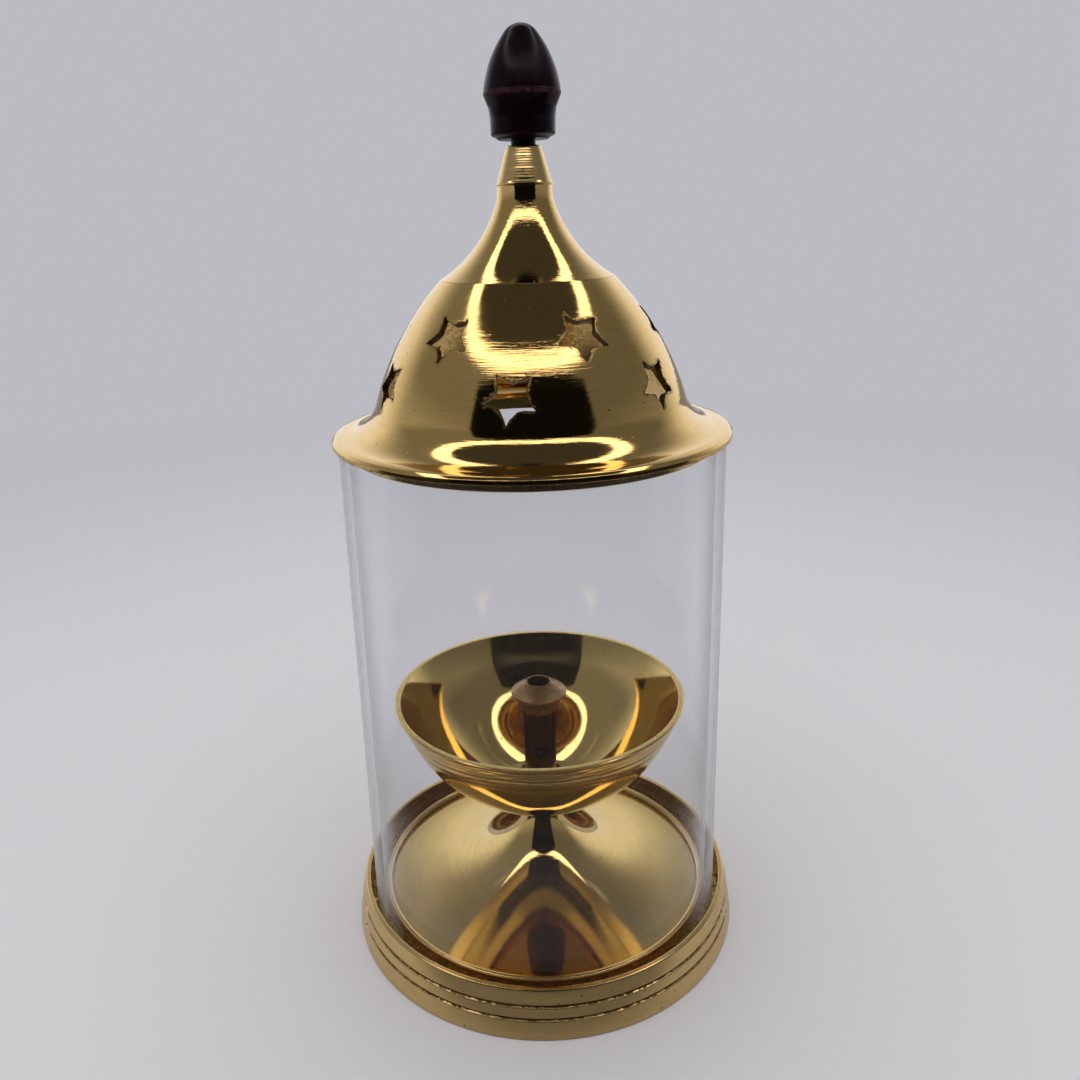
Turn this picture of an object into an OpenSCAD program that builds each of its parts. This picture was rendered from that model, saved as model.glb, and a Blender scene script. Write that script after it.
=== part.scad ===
// Covered oil lamp. A brass oil bowl with an upright wick tube stands on a trumpet foot
// inside a straight glass chimney, and a pierced brass lid with a turned knob closes it.
// +Z is up, -Y is the front, and the origin is the centre of the face the lamp stands on.

/* [Base tray] */
// Radius of the tray at the face it stands on
tray_r = 49.7; // [49.2:0.1:51]
// Height of the tray's rim
tray_h = 12.2; // [11.6:0.1:13]
// How far the tray's wall leans in over its height
wall_lean = 2.2; // [1.8:0.1:2.4]
// Height of the lower groove round the wall
groove_low_z = 5.2; // [4.6:0.1:6]
// Height of the upper groove round the wall
groove_high_z = 8.3; // [7.6:0.1:9]
// Depth of each groove
groove_d = 0.5; // [0.3:0.1:0.7]

/* [Glass chimney] */
// Outer radius of the glass tube
glass_r = 45; // [44.8:0.1:45.2]
// Wall thickness of the glass tube
glass_t = 2.2; // [1.8:0.1:2.4]
// Height of the glass tube
glass_h = 124; // [110:1:140]

/* [Foot and stem] */
// Radius of the stem where it meets the bowl
stem_r = 4; // [3.8:0.1:4.5]
// Height of the top of the stem
stem_top_z = 31; // [30:0.5:34]
// Radius of the foot's edge
foot_r = 40.7; // [40.3:0.1:40.8]
// Height of the foot's edge
foot_z = 8.6; // [8.4:0.1:9]
// Wall thickness of the foot
foot_t = 1.8; // [1.4:0.1:2.2]
// How hollow the foot's flare is: 1 is a quarter of an ellipse
flare_power = 1.0; // [1:0.05:1.5]

/* [Oil bowl] */
// Radius of the bowl's rim
bowl_r = 36.8; // [36:0.1:38]
// Depth of the bowl from its rim to the top of the stem
bowl_h = 30; // [29:0.5:31]
// Radius of the ball that the bowl's underside follows
bowl_ball_r = 36.8; // [36.4:0.1:37.4]
// Wall thickness of the bowl
bowl_t = 1.6; // [1.2:0.1:2]

/* [Burner] */
// Outer radius of the wick tube
tube_r = 4.1; // [3.9:0.1:4.4]
// Radius of the passage for the wick
wick_r = 2.8; // [2.4:0.1:3]
// Radius of the nozzle at its widest
nozzle_r = 7.05; // [6:0.05:8]
// Height of the nozzle's top
nozzle_top_z = 64; // [62:0.5:68]

/* [Lid] */
// Radius of the lid's flange
flange_r = 46.3; // [45.5:0.1:47.5]
// Wall thickness of the dome
dome_t = 1.5; // [1.2:0.1:1.8]
// Distance from the glass to the crease between dome and spire
dome_h = 35.6; // [35:0.1:36.4]
// Height of the spire above the crease
spire_h = 19.7; // [19:0.1:21]
// Radius of the spire's neck
neck_r = 6.05; // [5.8:0.05:6.3]
// Height of the tapered collar on the neck
collar_h = 8.1; // [7:0.1:10]
// Number of star vents in each of the two rows
star_count = 6; // [4:1:6]
// Distance from a star's centre to its points
star_r = 6; // [5:0.1:6.4]

/* [Knob] */
// Radius of the knob at its widest
knob_r = 8.35; // [8:0.05:9]
// Height of the knob
knob_h = 22.95; // [22:0.05:24]

/* [Hidden] */
$fn = 96;

// Clearances: a running fit between bodies, a close fit inside one body, and screw holes
run_gap = 0.08;
fit_gap = 0.05;
hole_gap = 0.15;

// Base tray: a channel for the glass between the outer wall and an inner ring
channel_z = 5;
channel_out_r = glass_r + 1.4;
ring_out_r = glass_r - glass_t - 0.5;
ring_in_r = foot_r + 0.2;
ring_top_z = 10.2;
ledge_r = foot_r - 1.3;
ledge_z = foot_z - 1.2;
web_low_z = 4.2;
web_top_z = 6.2;
recess_r = 43.4;
recess_z = 2.6;
groove_w = 0.8;

// Fasteners: M5 below and above the stem, M4 in the lid
m5_r = 2.5;
m4_r = 2;
bolt_head_r = 4.4;
bolt_head_h = 2.7;
washer_t = 1;
bolt_reach = 12.5;
stud_low_z = stem_top_z - 10;
stud_top_z = stem_top_z + 11;

// Bowl: the underside is part of a ball, and the lip is the cone that touches it
bowl_seat_z = stem_top_z;
bowl_rim_z = stem_top_z + bowl_h + 0.1;
ball_z = bowl_seat_z + 1 + bowl_ball_r;
lip_angle = 23.4;
bowl_boss_r = 6.2;
bowl_floor_z = bowl_seat_z + 3.6;
lip_groove_z = bowl_rim_z - 4.3;

// Burner
tube_low_z = bowl_floor_z + washer_t;
tube_foot_r = 5.6;
tube_foot_h = 2;
nozzle_skirt_r = 4.9;
nozzle_skirt_h = 1.6;
nozzle_edge_z = nozzle_top_z - 2.6;
nozzle_low_z = nozzle_edge_z - 4.8;
tube_top_z = nozzle_top_z - 3.5;
feed_hole_r = 1.3;
feed_hole_z = stud_top_z + 3.5;

// Lid: flange, fillet, dome and spire are arcs that run into each other
lid_z = channel_z + glass_h;
flange_t = 1.2;
flange_top_z = lid_z + 2;
spigot_h = 2.4;
spigot_out_r = glass_r - glass_t - 0.4;
spigot_in_r = spigot_out_r - 1.5;
fillet_r = 9.25;
fillet_x = 44.6;
dome_r = 66.56;
join_angle = 17.1;
dome_x = fillet_x - (dome_r + fillet_r) * cos(join_angle);
crease_z = lid_z + dome_h;
dome_z = flange_top_z + fillet_r - (dome_r + fillet_r) * sin(join_angle);
crease_angle = asin((crease_z - dome_z) / dome_r);
crease_r = dome_x + dome_r * cos(crease_angle);
dome_hole_r = 15.5;
dome_land_t = 1.6;
spire_r = 29.17;
spire_x = neck_r + spire_r - 1.09;
spire_z = crease_z + sqrt(spire_r * spire_r - (spire_x - crease_r) * (spire_x - crease_r));
spire_top_z = crease_z + spire_h;
spire_wall = 2;
screw_seat_z = spire_top_z - 7.3;
collar_top_r = 3.75;
collar_lip = 0.2;
collar_top_z = spire_top_z + collar_h;

// Stars: two rows on the dome, the lower one turned by half a step
star_inner_r = 3.1;
star_turn = -6;
star_high_z = lid_z + 25.3;
star_low_z = lid_z + 14.5;
star_high_az = -38;
star_step = 360 / star_count;

// Knob: a cup below and a pointed bud with a rounded tip above
knob_neck_r = 2.7;
knob_neck_h = 1.25;
knob_low_z = collar_top_z + knob_neck_h;
knob_cup_r = 7.1;
knob_edge_z = knob_low_z + 9.45;
knob_top_z = knob_low_z + knob_h;
bud_r = 24;
bud_z = knob_low_z + 6.5;
bud_low_angle = asin((knob_edge_z + 0.2 - bud_z) / bud_r);
bud_x = knob_r - bud_r * cos(bud_low_angle);
bud_h = knob_top_z - bud_z;
tip_r = (bud_r * bud_r - bud_x * bud_x - bud_h * bud_h) / (2 * (bud_r - bud_h));
tip_z = knob_top_z - tip_r;
tip_angle = atan((tip_z - bud_z) / -bud_x);
insert_r = 3.4;
insert_low_z = knob_low_z + 0.8;
insert_h = 11;

// Points along an arc about [cx, cz], in the plane that rotate_extrude turns
function arc(cx, cz, r, from, to, steps) = [
    for (i = [0:steps])
        let (a = from + (to - from) * i / steps)
        [cx + r * cos(a), cz + r * sin(a)]
];

// Radius of the tray's outer wall at a height, leaning in faster towards the rim
function tray_wall(z) = tray_r - wall_lean * (0.5 * z / tray_h + 0.5 * pow(z / tray_h, 2));

// Points down a V groove in the tray's wall, centred at a height
function wall_groove(z) = [
    [tray_wall(z - groove_w / 2), z - groove_w / 2],
    [tray_wall(z) - groove_d, z],
    [tray_wall(z + groove_w / 2), z + groove_w / 2],
];

// The foot's flare is a quarter of an ellipse-like curve, from the edge up to the stem
function flare(edge_r, edge_z, top_r, top_z, steps) = [
    for (i = [0:steps])
        let (a = 90 * (1 - i / steps))
        [
            top_r + (edge_r - top_r) * (1 - cos(a)),
            edge_z + (top_z - edge_z) * (1 - pow(sin(a), flare_power)),
        ]
];

// A solid ring between two radii and two heights
module ring(r_in, r_out, z_low, z_top) {
    translate([0, 0, z_low])
        difference() {
            cylinder(r = r_out, h = z_top - z_low);
            translate([0, 0, -1]) cylinder(r = r_in, h = z_top - z_low + 2);
        }
}

// A slotted screw pointing up, whose head's upper face is at z
module slotted_screw(r, head_r, head_h, z, reach) {
    slot_w = 0.25 * head_r;
    difference() {
        union() {
            translate([0, 0, z - head_h]) cylinder(r = head_r, h = head_h);
            translate([0, 0, z - 0.5]) cylinder(r = r, h = reach + 0.5);
        }
        translate([-head_r, -slot_w / 2, z - head_h - 1]) cube([2 * head_r, slot_w, 2]);
    }
}

// Outline of a star with five points
module star() {
    polygon([
        for (i = [0:9])
            let (a = star_turn + 90 + 36 * i, r = i % 2 == 0 ? star_inner_r : star_r)
            [r * cos(a), r * sin(a)]
    ]);
}

// One star vent's cutter, square to the dome at a height and at an angle from the front
module star_cutter(z, az) {
    lean = asin((z - dome_z) / dome_r);
    reach = 4;
    rotate([0, 0, az])
        translate([0, -(dome_x + dome_r * cos(lean)), z])
            rotate([90 - lean, 0, 0])
                translate([0, 0, -reach]) linear_extrude(2 * reach) star();
}

// Cast and turned tray that carries the foot and holds the glass
module base_tray() {
    bead_r = (ring_out_r - ring_in_r) / 2;
    color("darkgoldenrod")
        rotate_extrude()
            polygon(concat(
                [[m5_r + 2 * hole_gap, web_low_z], [recess_r - 4, web_low_z], [recess_r, recess_z]],
                [[recess_r, 0], [tray_r - 0.5, 0], [tray_wall(0.5), 0.5]],
                wall_groove(groove_low_z),
                wall_groove(groove_high_z),
                [[tray_wall(tray_h - 0.4), tray_h - 0.4], [tray_wall(tray_h) - 0.3, tray_h]],
                [[channel_out_r + 0.3, tray_h], [channel_out_r, tray_h - 0.4]],
                [[channel_out_r, channel_z], [ring_out_r, channel_z]],
                arc(ring_out_r - bead_r, ring_top_z - bead_r, bead_r, 0, 180, 8),
                [[ring_in_r, ledge_z], [ledge_r, ledge_z], [ledge_r, web_top_z]],
                [[m5_r + 2 * hole_gap, web_top_z]]
            ));
}

// Trumpet foot and stem in one hollow casting, tapped at both ends of the stem
module pedestal() {
    steps = 22;
    boss_r = 7;
    skin = flare(foot_r, foot_z, stem_r, stem_top_z, steps);
    under = [for (p = skin) if (p[0] > boss_r + foot_t) [p[0] - foot_t * 0.35, p[1] - foot_t]];
    color("goldenrod")
        difference() {
            rotate_extrude()
                polygon(concat(
                    [[0, web_top_z], [boss_r, web_top_z]],
                    [[boss_r, under[len(under) - 1][1]]],
                    [for (i = [len(under) - 1:-1:1]) under[i]],
                    [[ledge_r - 0.3, ledge_z], [foot_r, ledge_z]],
                    skin,
                    [[0, stem_top_z]]
                ));
            translate([0, 0, web_top_z - 1]) cylinder(r = m5_r + fit_gap, h = bolt_reach);
            translate([0, 0, stud_low_z - 0.5]) cylinder(r = m5_r + fit_gap, h = 12);
        }
}

// Slotted bolt that pulls the foot down on to the tray from below
module tie_bolt() {
    color("silver")
        slotted_screw(m5_r, bolt_head_r, bolt_head_h, web_low_z - washer_t, bolt_reach);
}

module tie_bolt_washer() {
    color("silver") ring(m5_r + 2 * hole_gap, bolt_head_r + 2.1, web_low_z - washer_t, web_low_z);
}

// Threaded stud in the top of the stem, which the bowl drops over
module stem_stud() {
    color("silver")
        translate([0, 0, stud_low_z]) cylinder(r = m5_r, h = stud_top_z - stud_low_z);
}

// Bowl with a tapered lip, a ball-shaped underside and a thick drilled centre
module oil_bowl() {
    steps = 12;
    ball_in_r = bowl_ball_r - bowl_t;
    lip_z = ball_z - bowl_ball_r * sin(lip_angle);
    lip_r = bowl_ball_r * cos(lip_angle);
    seat_angle = acos(stem_r / bowl_ball_r);
    floor_angle = asin((ball_z - bowl_floor_z - 0.4) / ball_in_r);
    groove_r = lip_r + (bowl_r - lip_r) * (lip_groove_z - lip_z) / (bowl_rim_z - lip_z);
    color("gold")
        difference() {
            rotate_extrude()
                polygon(concat(
                    [[0, bowl_seat_z], [stem_r, bowl_seat_z]],
                    arc(0, ball_z, bowl_ball_r, -seat_angle, -lip_angle, steps),
                    [[groove_r - 0.1, lip_groove_z - 0.3], [groove_r - 0.35, lip_groove_z]],
                    [[groove_r + 0.1, lip_groove_z + 0.3], [bowl_r, bowl_rim_z - 0.3]],
                    [[bowl_r - 0.3, bowl_rim_z], [bowl_r - bowl_t + 0.4, bowl_rim_z]],
                    [[bowl_r - bowl_t, bowl_rim_z - 0.4]],
                    arc(0, ball_z, ball_in_r, -lip_angle, -floor_angle, steps),
                    [[bowl_boss_r, bowl_floor_z], [0, bowl_floor_z]]
                ));
            translate([0, 0, bowl_seat_z - 1]) cylinder(r = m5_r + run_gap, h = bowl_h);
        }
}

// Fibre washer that keeps the oil out of the bowl's centre hole
module bowl_seal_washer() {
    color("saddlebrown") ring(m5_r + run_gap, tube_foot_r + 0.3, bowl_floor_z, tube_low_z);
}

// Wick tube: screws down on the stud, and draws oil in through the feed holes
module wick_tube() {
    color("darkgoldenrod")
        difference() {
            union() {
                translate([0, 0, tube_low_z]) cylinder(r = tube_r, h = tube_top_z - tube_low_z);
                translate([0, 0, tube_low_z]) cylinder(r = tube_foot_r, h = tube_foot_h);
            }
            translate([0, 0, tube_low_z - 1]) cylinder(r = m5_r + run_gap, h = 12);
            translate([0, 0, stud_top_z + 0.5]) cylinder(r = wick_r, h = tube_top_z);
            for (az = [0, 90])
                rotate([0, 0, az])
                    translate([-tube_r - 1, 0, feed_hole_z])
                        rotate([0, 90, 0]) cylinder(r = feed_hole_r, h = 2 * tube_r + 2);
        }
}

// Conical nozzle that caps the tube and holds the wick upright
module wick_nozzle() {
    color("peru")
        difference() {
            rotate_extrude()
                polygon([
                    [wick_r - 1, nozzle_low_z],
                    [nozzle_skirt_r, nozzle_low_z],
                    [nozzle_skirt_r, nozzle_low_z + nozzle_skirt_h],
                    [nozzle_r, nozzle_edge_z - 0.5],
                    [nozzle_r, nozzle_edge_z],
                    [wick_r + 0.5, nozzle_top_z],
                    [wick_r - 1, nozzle_top_z],
                ]);
            translate([0, 0, nozzle_low_z - 1])
                cylinder(r = tube_r + fit_gap, h = tube_top_z - nozzle_low_z + 1);
            translate([0, 0, tube_top_z - 1]) cylinder(r = wick_r, h = 10);
        }
}

// Plain open-ended glass tube that stands in the tray's channel
module glass_chimney() {
    color("lightsteelblue", 0.35) ring(glass_r - glass_t, glass_r, channel_z, lid_z);
}

// Pierced dome with its flange and the spigot that centres it in the glass
module dome_shell() {
    steps = 12;
    fillet_z = flange_top_z + fillet_r;
    inner_top_angle = asin((crease_z - dome_land_t - dome_z) / (dome_r - dome_t));
    color("gold")
        difference() {
            rotate_extrude()
                polygon(concat(
                    [[spigot_in_r, lid_z - spigot_h], [spigot_out_r, lid_z - spigot_h]],
                    [[spigot_out_r, lid_z], [flange_r, lid_z], [flange_r, lid_z + flange_t]],
                    arc(fillet_x, fillet_z, fillet_r, 270, 180 + join_angle, 8),
                    arc(dome_x, dome_z, dome_r, join_angle, crease_angle, steps),
                    [[dome_hole_r, crease_z], [dome_hole_r, crease_z - dome_land_t]],
                    arc(dome_x, dome_z, dome_r - dome_t, inner_top_angle, join_angle, steps),
                    arc(fillet_x, fillet_z, fillet_r + dome_t, 180 + join_angle, 248, 5),
                    [[spigot_in_r, lid_z + 0.6]]
                ));
            for (i = [0:star_count - 1]) {
                star_cutter(star_high_z, star_high_az + i * star_step);
                star_cutter(star_low_z, star_high_az + (i + 0.5) * star_step);
            }
        }
}

// Turned spire that stands on the dome and flares up into a neck
module dome_spire() {
    steps = 14;
    foot_angle = 180 + asin((spire_z - crease_z) / spire_r);
    neck_angle = 180 + acos((spire_x - neck_r - 0.15) / spire_r);
    inner_r = spire_r + spire_wall;
    hollow_r = dome_hole_r - fit_gap - 1.8;
    seat_r = spire_x - sqrt(inner_r * inner_r - pow(spire_z - screw_seat_z, 2));
    color("goldenrod")
        difference() {
            rotate_extrude()
                polygon(concat(
                    [[hollow_r, crease_z - dome_land_t - 1]],
                    [[dome_hole_r - fit_gap, crease_z - dome_land_t - 1]],
                    [[dome_hole_r - fit_gap, crease_z]],
                    arc(spire_x, spire_z, spire_r, foot_angle, neck_angle, steps),
                    [[neck_r, spire_top_z - 1.5], [neck_r, spire_top_z]],
                    [[0, spire_top_z], [0, screw_seat_z], [seat_r, screw_seat_z]],
                    arc(
                        spire_x, spire_z, inner_r,
                        180 + asin((spire_z - screw_seat_z) / inner_r),
                        180 + acos((spire_x - hollow_r) / inner_r), 8
                    )
                ));
            translate([0, 0, screw_seat_z - 1]) cylinder(r = m4_r + hole_gap, h = spire_h);
        }
}

// Tapered collar clamped between the spire's neck and the knob
module neck_collar() {
    lip_h = 0.5;
    color("gold")
        difference() {
            rotate_extrude()
                polygon([
                    [0, spire_top_z],
                    [neck_r + collar_lip, spire_top_z],
                    [neck_r + collar_lip, spire_top_z + lip_h],
                    [neck_r - 0.05, spire_top_z + lip_h + 0.3],
                    [collar_top_r, collar_top_z],
                    [0, collar_top_z],
                ]);
            translate([0, 0, spire_top_z - 1]) cylinder(r = m4_r + hole_gap, h = collar_h + 2);
        }
}

// Moulded knob: a neck, a cup and a pointed bud
module lid_knob() {
    corner_r = 1.2;
    color([0.14, 0.06, 0.08])
        difference() {
            rotate_extrude()
                polygon(concat(
                    [[0, collar_top_z], [knob_neck_r, collar_top_z], [knob_neck_r, knob_low_z]],
                    arc(knob_cup_r - corner_r, knob_low_z + corner_r, corner_r, -90, 0, 5),
                    [[knob_cup_r + 0.2, knob_edge_z - 3.1], [knob_r - 0.05, knob_edge_z - 0.6]],
                    arc(bud_x, bud_z, bud_r, bud_low_angle, tip_angle, 9),
                    arc(0, tip_z, tip_r, tip_angle + 9, 90, 5)
                ));
            translate([0, 0, collar_top_z - 1]) cylinder(r = m4_r + hole_gap, h = 6);
            translate([0, 0, insert_low_z]) cylinder(r = insert_r, h = insert_h);
        }
}

// Threaded brass insert moulded into the knob
module knob_insert() {
    color("darkgoldenrod")
        ring(m4_r + fit_gap, insert_r - fit_gap, insert_low_z + fit_gap, insert_low_z + insert_h - fit_gap);
}

// Long screw from inside the dome, through spire and collar, into the knob
module knob_screw() {
    color("silver")
        slotted_screw(m4_r, 3.6, 2.6, screw_seat_z - 0.8, insert_low_z + 10 - screw_seat_z);
}

module knob_screw_washer() {
    color("silver") ring(m4_r + hole_gap, 4.5, screw_seat_z - 0.8, screw_seat_z);
}

base_tray();
pedestal();
tie_bolt();
tie_bolt_washer();
stem_stud();
oil_bowl();
bowl_seal_washer();
wick_tube();
wick_nozzle();
glass_chimney();
dome_shell();
dome_spire();
neck_collar();
lid_knob();
knob_insert();
knob_screw();
knob_screw_washer();
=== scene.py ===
import math
import random

import bmesh
import bpy
from mathutils import Matrix, Vector
from mathutils.geometry import delaunay_2d_cdt


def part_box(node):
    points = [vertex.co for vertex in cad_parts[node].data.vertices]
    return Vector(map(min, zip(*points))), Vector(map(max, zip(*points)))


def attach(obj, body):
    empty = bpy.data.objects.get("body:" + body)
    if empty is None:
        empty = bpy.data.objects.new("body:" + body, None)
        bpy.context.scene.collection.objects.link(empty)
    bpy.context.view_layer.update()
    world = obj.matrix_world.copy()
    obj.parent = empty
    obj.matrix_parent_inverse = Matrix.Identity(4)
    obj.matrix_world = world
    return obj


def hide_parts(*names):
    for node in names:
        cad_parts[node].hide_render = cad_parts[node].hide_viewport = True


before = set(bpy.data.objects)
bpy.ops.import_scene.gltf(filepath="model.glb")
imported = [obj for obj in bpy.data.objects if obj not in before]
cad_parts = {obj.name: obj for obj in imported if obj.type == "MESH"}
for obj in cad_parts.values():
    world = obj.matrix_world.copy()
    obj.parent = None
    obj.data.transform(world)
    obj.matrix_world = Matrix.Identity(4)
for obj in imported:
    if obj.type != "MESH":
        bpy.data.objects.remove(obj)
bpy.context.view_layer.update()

# Lengths are in millimetres until a mesh is made, and Blender's are in metres.
MM = 0.001
COLUMNS = 240  # faces round each turned piece
STEEL_NODES = ("tie_bolt", "tie_bolt_washer", "stem_stud", "knob_screw", "knob_screw_washer")
BOXES = {node: [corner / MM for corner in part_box(node)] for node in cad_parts}


def low(node):
    return BOXES[node][0].z


def top(node):
    return BOXES[node][1].z


def radius(node):
    return (BOXES[node][1].x - BOXES[node][0].x) / 2


# Sizes read from model.glb, and the shapes that part.scad gives its solids
TRAY_R, TRAY_H, WALL_LEAN = radius("base_tray") + 0.07, top("base_tray"), 2.2
TRAY_GROOVES, TRAY_WALLS = (5.2, 8.3), ((0.9, 4.5), (5.9, 7.6), (9.0, 11.4))
TRAY_RECESS_R = 43.4
GLASS_R, GLASS_T = radius("glass_chimney"), 2.2
CHANNEL_Z, LID_Z = low("glass_chimney"), top("glass_chimney")
CHANNEL_R, SPIGOT_R = GLASS_R + 1.4, GLASS_R - GLASS_T - 0.4
FOOT_R, FOOT_Z, FOOT_T = radius("pedestal"), 8.6, 1.8
LEDGE_Z = FOOT_Z - 1.2
STEM_R, STEM_TOP, WEB_LOW, WEB_TOP = 4.0, top("pedestal"), 4.2, low("pedestal")
BOWL_R, BOWL_RIM, BALL_R, BOWL_T = radius("oil_bowl"), top("oil_bowl"), 36.8, 1.6
BALL_Z, BOWL_FLOOR_Z = STEM_TOP + 1 + BALL_R, STEM_TOP + 3.6
LIP_ANGLE, BOWL_LINE = 23.4, 4.3  # the lip's start in degrees, and its deepest line below the rim
WICK_R, TUBE_R, NOZZLE_NECK_R = 2.8, 4.1, 4.9
FLANGE_R = radius("dome_shell")
DOME_T, DOME_R, JOIN_ANGLE = 1.5, 66.56, math.radians(17.1)
FILLET_R, FILLET_X, FILLET_Z = 9.25, 44.6, LID_Z + 11.25
DOME_X = FILLET_X - (DOME_R + FILLET_R) * math.cos(JOIN_ANGLE)
DOME_Z = FILLET_Z - (DOME_R + FILLET_R) * math.sin(JOIN_ANGLE)
CREASE_Z, DOME_HOLE_R, LAND_T = top("dome_shell"), 15.5, 1.6
CREASE_ANGLE = math.asin((CREASE_Z - DOME_Z) / DOME_R)
STAR_TIP, STAR_NOTCH, STAR_TURN = 6.0, 3.1, -6
STAR_ROWS = ((LID_Z + 25.3, -38), (LID_Z + 14.5, -8))
SPIRE_R, NECK_R = 29.17, 6.05
KNOB_NECK_H, KNOB_EDGE_H = 1.25, 9.45
M5_R, M4_R, RUN_GAP, FIT_GAP, HOLE_GAP = 2.5, 2.0, 0.08, 0.05, 0.15
SCREW_HOLE_R = M4_R + HOLE_GAP


# ---------------------------------------------------------------- profiles

def arc(cx, cz, r, start, end, steps):
    """Points along an arc, from one angle to another in degrees."""
    return [
        (cx + r * math.cos(math.radians(start + (end - start) * i / steps)),
         cz + r * math.sin(math.radians(start + (end - start) * i / steps)))
        for i in range(steps + 1)
    ]


def rounded(points, closed=True):
    """Turns each corner that states a radius, as its third number, into an arc."""
    line = []
    for i, p in enumerate(points):
        corner = Vector(p[:2])
        if len(p) < 3 or (not closed and i in (0, len(points) - 1)):
            line.append(corner)
            continue
        before = Vector(points[i - 1][:2]) - corner
        after = Vector(points[(i + 1) % len(points)][:2]) - corner
        half = before.angle(after) / 2
        if half > math.radians(89):
            line.append(corner)
            continue
        cut = min(p[2] / math.tan(half), 0.48 * before.length, 0.48 * after.length)
        r = cut * math.tan(half)
        middle = (before.normalized() + after.normalized()).normalized()
        centre = corner + middle * (r / math.sin(half))
        first = corner + before.normalized() * cut - centre
        last = corner + after.normalized() * cut - centre
        turn = first.angle_signed(last)
        steps = max(2, math.ceil(abs(turn) / math.radians(12)))
        for k in range(steps + 1):
            line.append(centre + Matrix.Rotation(-turn * k / steps, 2) @ first)
    return [tuple(p) for p in line]


def spun(r, z, azimuth):
    """A point on the lamp, in metres. Azimuth 0 is at the front and turns towards +X."""
    return Vector((r * math.sin(azimuth), -r * math.cos(azimuth), z)) * MM


# ---------------------------------------------------------------- meshes

def new_mesh():
    """An empty mesh whose vertices keep how far along the profile they are, and how grimy or
    darkened by painted shade.
    """
    mesh = bmesh.new()
    mesh.verts.layers.float.new("along")
    mesh.verts.layers.float.new("grime_and_shade")
    return mesh


def revolve(mesh, line, closed, grime_and_shade=None, start=0.0, along_from=0.0):
    """Turns a line of points about the lamp's axis."""
    along, dirt_and_shade = mesh.verts.layers.float["along"], mesh.verts.layers.float["grime_and_shade"]
    rings, distance = [], along_from
    for j, (r, z) in enumerate(line):
        if j:
            distance += math.dist(line[j - 1], line[j])
        ring, here = [], grime_and_shade(r, z) if grime_and_shade else 0.0
        for i in range(COLUMNS if r > 1e-6 else 1):
            vert = mesh.verts.new(spun(r, z, start + 2 * math.pi * i / COLUMNS))
            vert[along], vert[dirt_and_shade] = distance, here
            ring.append(vert)
        rings.append(ring * (COLUMNS // len(ring)))
    pairs = list(zip(rings, rings[1:])) + ([(rings[-1], rings[0])] if closed else [])
    for a, b in pairs:
        for i in range(COLUMNS):
            k = (i + 1) % COLUMNS
            corners = list(dict.fromkeys((a[i], a[k], b[k], b[i])))
            if len(corners) > 2:
                mesh.faces.new(corners)


def finish_piece(mesh, name, body, material, nodes, sharp=32):
    """Makes the object, gives it its finish, ties it to its body and hides its CAD nodes."""
    bmesh.ops.remove_doubles(mesh, verts=mesh.verts, dist=1e-7)
    bmesh.ops.recalc_face_normals(mesh, faces=mesh.faces)
    data = bpy.data.meshes.new(name)
    mesh.to_mesh(data)
    mesh.free()
    data.materials.append(material)
    data.shade_smooth()
    data.set_sharp_from_angle(angle=math.radians(sharp))
    piece = bpy.data.objects.new(name, data)
    bpy.context.scene.collection.objects.link(piece)
    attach(piece, body)
    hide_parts(*nodes)
    return piece


def lathe(name, body, material, points, nodes, closed=True, grime_and_shade=None):
    """Makes one turned piece from its profile."""
    mesh = new_mesh()
    revolve(mesh, rounded(points, closed), closed, grime_and_shade)
    return finish_piece(mesh, name, body, material, nodes)


def band(value, centre, width):
    """1 at the centre of a band, falling to 0 at its edges."""
    return max(0.0, 1 - abs(value - centre) / width)


# ---------------------------------------------------------------- materials

class Graph:
    """Short ways to add shader nodes to one material or world."""

    def __init__(self, owner):
        owner.use_nodes = True
        self.tree = owner.node_tree
        self.tree.nodes.clear()

    def add(self, kind, out=0, inputs=None, **settings):
        made = self.tree.nodes.new(kind)
        for key, value in settings.items():
            setattr(made, key, value)
        for key, value in (inputs or {}).items():
            if isinstance(value, bpy.types.NodeSocket):
                self.tree.links.new(value, made.inputs[key])
            else:
                made.inputs[key].default_value = value
        return made.outputs[out]

    def math(self, operation, a, b=0.0, clamp=False):
        return self.add("ShaderNodeMath", 0, {0: a, 1: b}, operation=operation, use_clamp=clamp)

    def attribute(self, name):
        return self.add("ShaderNodeAttribute", "Fac", attribute_name=name)

    def mix(self, factor, a, b):
        return self.add("ShaderNodeMix", 2, {0: factor, 6: a, 7: b}, data_type="RGBA")

    def ramp(self, value, low_at, high_at, low_to=0.0, high_to=1.0):
        """Smoothly from one number to another, as a value goes from low_at to high_at."""
        return self.add("ShaderNodeMapRange", 0, {
            "Value": value, "From Min": low_at, "From Max": high_at,
            "To Min": low_to, "To Max": high_to,
        }, interpolation_type="SMOOTHSTEP")

    def noise(self, vector, scale, detail=2.0, rough=0.5):
        return self.add("ShaderNodeTexNoise", 0, {
            "Vector": vector, "Scale": scale, "Detail": detail, "Roughness": rough})

    def place(self):
        return self.add("ShaderNodeTexCoord", "Object")

    def part(self, vector, axis):
        """One number of a vector: 0, 1 or 2 for X, Y or Z."""
        return self.add("ShaderNodeSeparateXYZ", axis, {0: vector})

    def bump(self, height):
        """A normal from a height in millimetres."""
        return self.add("ShaderNodeBump", 0, {"Strength": 1.0, "Distance": MM, "Height": height})

    def blend(self, factor, a, b):
        return self.add("ShaderNodeMixShader", 0, {0: factor, 1: a, 2: b})

    def emission(self, colour, strength=1.0):
        return self.add("ShaderNodeEmission", 0, {"Color": (*colour, 1), "Strength": strength})

    def end(self, shader, kind="ShaderNodeOutputMaterial"):
        """Ties the finished shader to the output of the material or the world."""
        self.tree.links.new(shader, self.tree.nodes.new(kind).inputs["Surface"])


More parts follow.
